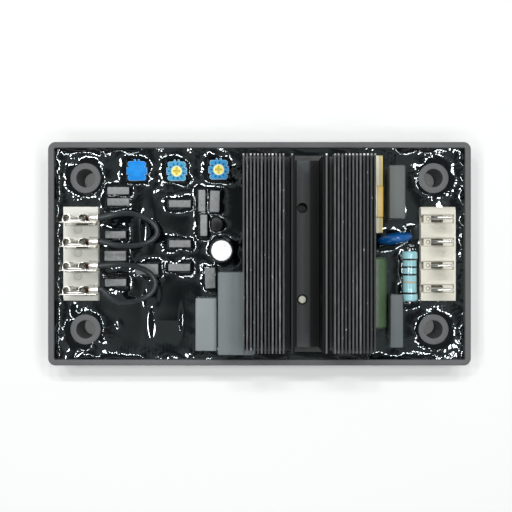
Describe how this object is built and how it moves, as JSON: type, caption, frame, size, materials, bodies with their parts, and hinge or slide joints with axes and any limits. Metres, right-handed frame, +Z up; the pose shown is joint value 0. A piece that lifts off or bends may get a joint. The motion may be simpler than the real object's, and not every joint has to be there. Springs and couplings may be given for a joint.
{
  "type": "automatic voltage regulator",
  "caption": "Potted voltage regulator for a generator: a black tray filled with resin, a finned heat sink across it, blade terminals at both ends and small setting trimmers.",
  "frame": {"origin": "bottom centre of the tray", "axes": "+X along the tray towards the bare blade terminals, +Y across it towards the trimmers, +Z up out of the tray"},
  "size_m": [0.139, 0.0734, 0.039],
  "materials": {
    "case_plastic": "moulded, fine matte grain",
    "board_laminate": "green solder mask",
    "potting_resin": "cured glossy resin",
    "black_package": "moulded epoxy",
    "insulating_pad": "thin silicone sheet",
    "black_anodised": "black anodised extrusion",
    "plated_screw": "zinc plated",
    "cream_nylon": "moulded nylon",
    "tinned_brass": "tin plated",
    "tinned_sheet": "tin plated, bright",
    "wire_insulation": "soft vinyl",
    "blue_plastic": "moulded",
    "yellow_plastic": "moulded",
    "grey_box_small": "moulded box",
    "grey_box_large": "moulded box",
    "bare_aluminium": "drawn can",
    "dark_sleeve": "shrunk film",
    "green_enamel": "vitreous coating",
    "turquoise_lacquer": "lacquered, with colour bands",
    "blue_epoxy": "dipped epoxy",
    "cream_bobbin": "moulded",
    "yellow_tape": "polyester tape"
  },
  "bodies": {
    "base": {"case": "case_plastic", "circuit_board": "board_laminate", "potting_resin": "potting_resin", "power_transistor_1": "black_package", "power_transistor_2": "black_package", "insulating_pad": "insulating_pad", "heat_sink": "black_anodised", "sink_screw_1": "plated_screw", "sink_screw_2": "plated_screw", "terminal_block_left": "cream_nylon", "terminal_block_right": "cream_nylon", "tab_left_1": "tinned_brass", "tab_left_2": "tinned_brass", "tab_left_3": "tinned_brass", "tab_left_4": "tinned_brass", "tab_right_1": "tinned_brass", "tab_right_2": "tinned_brass", "tab_right_3": "tinned_brass", "tab_right_4": "tinned_brass", "receptacle_1": "tinned_sheet", "receptacle_2": "tinned_sheet", "receptacle_3": "tinned_sheet", "receptacle_4": "tinned_sheet", "jumper_wire_upper": "wire_insulation", "jumper_wire_lower": "wire_insulation", "trimmer_body_1": "blue_plastic", "trimmer_body_2": "blue_plastic", "trimmer_body_3": "blue_plastic", "trimmer_rotor_1": "yellow_plastic", "trimmer_seal": "blue_plastic", "small_capacitor_1": "grey_box_small", "small_capacitor_2": "grey_box_small", "small_capacitor_3": "grey_box_small", "small_capacitor_4": "grey_box_small", "small_capacitor_5": "grey_box_small", "small_capacitor_6": "grey_box_small", "small_capacitor_7": "grey_box_small", "small_capacitor_8": "grey_box_small", "small_capacitor_9": "grey_box_small", "small_capacitor_10": "grey_box_small", "small_capacitor_11": "grey_box_small", "small_capacitor_12": "grey_box_small", "small_capacitor_13": "grey_box_small", "film_capacitor_1": "grey_box_large", "film_capacitor_2": "grey_box_large", "film_capacitor_3": "grey_box_large", "film_capacitor_4": "grey_box_large", "electrolytic_can": "bare_aluminium", "electrolytic_sleeve": "dark_sleeve", "wirewound_resistor": "green_enamel", "film_resistor": "turquoise_lacquer", "varistor": "blue_epoxy", "transformer_bobbin": "cream_bobbin", "transformer_winding": "yellow_tape", "small_transistor": "black_package", "control_chip": "black_package"},
    "rotor_2": {"trimmer_rotor_2": "yellow_plastic"},
    "rotor_3": {"trimmer_rotor_3": "yellow_plastic"}
  },
  "joints": [
    {"name": "trimmer_2_turn", "type": "hinge", "parent": "base", "child": "rotor_2", "pos_m": [-0.0272, 0.0271, 0.0174], "axis": [0, 0, 1], "range_deg": [-120, 120]},
    {"name": "trimmer_3_turn", "type": "hinge", "parent": "base", "child": "rotor_3", "pos_m": [-0.0134, 0.0276, 0.0174], "axis": [0, 0, 1], "range_deg": [-120, 120]}
  ]
}
